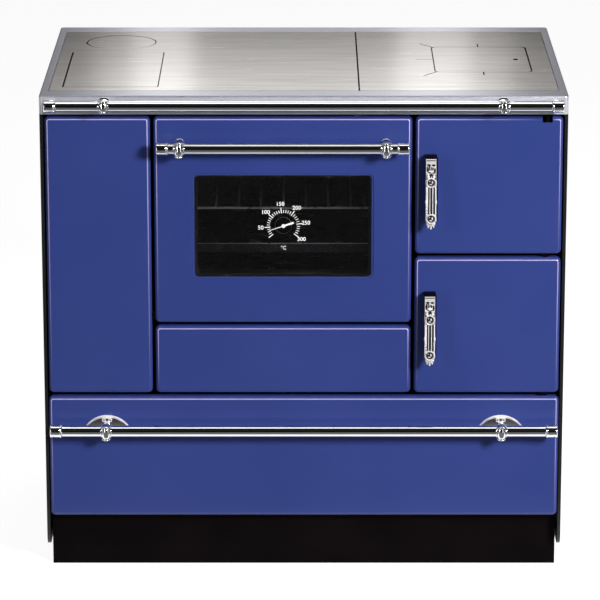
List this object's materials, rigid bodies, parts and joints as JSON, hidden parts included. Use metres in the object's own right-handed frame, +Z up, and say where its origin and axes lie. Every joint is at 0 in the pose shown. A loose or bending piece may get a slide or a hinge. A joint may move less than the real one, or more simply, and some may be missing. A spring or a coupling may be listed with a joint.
{
  "type": "wood cookstove",
  "caption": "Free-standing wood cookstove with an enamelled front, steel hob with lift-off covers, drop-down oven door, fire and ash doors, chrome rails and a fuel drawer.",
  "frame": {"origin": "middle of the footprint, on the floor", "axes": "+Z up, the front with its doors faces -Y, +X to the right seen from the front"},
  "size_m": [0.9, 0.68, 0.85],
  "materials": {
    "blue_enamel": "gloss vitreous enamel",
    "black_steel": "satin black enamel",
    "stainless": "polished stainless frame",
    "hob_steel": "brushed hob steel",
    "chrome": "polished chrome",
    "cast_iron": "matt cast iron",
    "oven_enamel": "dark speckled enamel",
    "firebrick": "matt fireclay",
    "zinc_steel": "zinc-plated steel",
    "glass": "dark tinted glass",
    "white_paint": "white paint"
  },
  "bodies": {
    "casing": {"plinth": "black_steel", "left_side_panel": "black_steel", "right_side_panel": "black_steel", "back_panel": "black_steel", "front_frame": "black_steel", "middle_shelf": "black_steel", "drawer_runner_left": "zinc_steel", "drawer_runner_right": "zinc_steel", "left_front_panel": "blue_enamel", "hob_frame": "stainless", "hob_plate_left": "hob_steel", "hob_plate_right": "hob_steel", "hob_rail": "chrome", "hob_rail_cap_left": "chrome", "hob_rail_cap_right": "chrome", "hob_rail_bracket_left": "chrome", "hob_rail_bracket_right": "chrome", "oven_hinge_left": "black_steel", "oven_hinge_right": "black_steel", "door_hinge_post": "black_steel", "oven_box": "oven_enamel", "oven_rack": "chrome", "baking_tray": "oven_enamel", "firebox_casing": "cast_iron", "grate": "cast_iron", "firebrick_left": "firebrick", "firebrick_right": "firebrick", "firebrick_back": "firebrick", "ash_pan": "zinc_steel", "soot_cover": "cast_iron", "flue_collar": "cast_iron"},
    "oven_door": {"oven_door_panel": "blue_enamel", "oven_door_glass": "glass", "oven_door_liner": "cast_iron", "thermometer_case": "zinc_steel", "oven_rail": "chrome", "oven_rail_cap_left": "chrome", "oven_rail_cap_right": "chrome", "oven_rail_bracket_left": "chrome", "oven_rail_bracket_right": "chrome"},
    "thermometer_needle": {"thermometer_needle": "white_paint"},
    "fire_door": {"fire_door_panel": "blue_enamel", "fire_door_liner": "cast_iron"},
    "fire_door_lever": {"fire_door_handle": "chrome", "fire_door_spindle": "chrome"},
    "ash_door": {"ash_door_panel": "blue_enamel", "ash_door_liner": "cast_iron"},
    "ash_door_lever": {"ash_door_handle": "chrome", "ash_door_spindle": "chrome"},
    "fuel_drawer": {"drawer_front": "blue_enamel", "drawer_box": "zinc_steel", "drawer_rail": "chrome", "drawer_rail_cap_left": "chrome", "drawer_rail_cap_right": "chrome", "drawer_rail_bracket_left": "chrome", "drawer_rail_bracket_right": "chrome"},
    "lower_front_panel": {"lower_front_panel": "blue_enamel"},
    "flue_cover": {"flue_cover": "hob_steel"},
    "cleaning_cover": {"cleaning_cover": "hob_steel"},
    "firebox_cover": {"firebox_cover": "hob_steel"}
  },
  "joints": [
    {"name": "oven_door_hinge", "type": "hinge", "parent": "casing", "child": "oven_door", "pos_m": [-0.03575, -0.284, 0.4595], "axis": [1, 0, 0], "range_deg": [0, 90]},
    {"name": "thermometer_needle_turn", "type": "hinge", "parent": "oven_door", "child": "thermometer_needle", "pos_m": [-0.035, -0.293, 0.62], "axis": [0, 1, 0], "range_deg": [-20, 236]},
    {"name": "fire_door_hinge", "type": "hinge", "parent": "casing", "child": "fire_door", "pos_m": [0.415, -0.284, 0.691], "axis": [0, 0, 1], "range_deg": [0, 105]},
    {"name": "fire_door_lever_turn", "type": "hinge", "parent": "fire_door", "child": "fire_door_lever", "pos_m": [0.2165, -0.31, 0.736], "axis": [0, -1, 0], "range_deg": [0, 75]},
    {"name": "ash_door_hinge", "type": "hinge", "parent": "casing", "child": "ash_door", "pos_m": [0.415, -0.284, 0.443], "axis": [0, 0, 1], "range_deg": [0, 105]},
    {"name": "ash_door_lever_turn", "type": "hinge", "parent": "ash_door", "child": "ash_door_lever", "pos_m": [0.2165, -0.31, 0.4935], "axis": [0, -1, 0], "range_deg": [0, 75]},
    {"name": "fuel_drawer_slide", "type": "slide", "parent": "casing", "child": "fuel_drawer", "axis": [0, -1, 0], "range_m": [0, 0.38]},
    {"name": "lower_front_panel_pull", "type": "slide", "parent": "casing", "child": "lower_front_panel", "axis": [0, -1, 0], "range_m": [0, 0.12]},
    {"name": "flue_cover_lift", "type": "slide", "parent": "casing", "child": "flue_cover", "axis": [0, 0, 1], "range_m": [0, 0.15]},
    {"name": "cleaning_cover_lift", "type": "slide", "parent": "casing", "child": "cleaning_cover", "axis": [0, 0, 1], "range_m": [0, 0.15]},
    {"name": "firebox_cover_lift", "type": "slide", "parent": "casing", "child": "firebox_cover", "axis": [0, 0, 1], "range_m": [0, 0.15]}
  ]
}
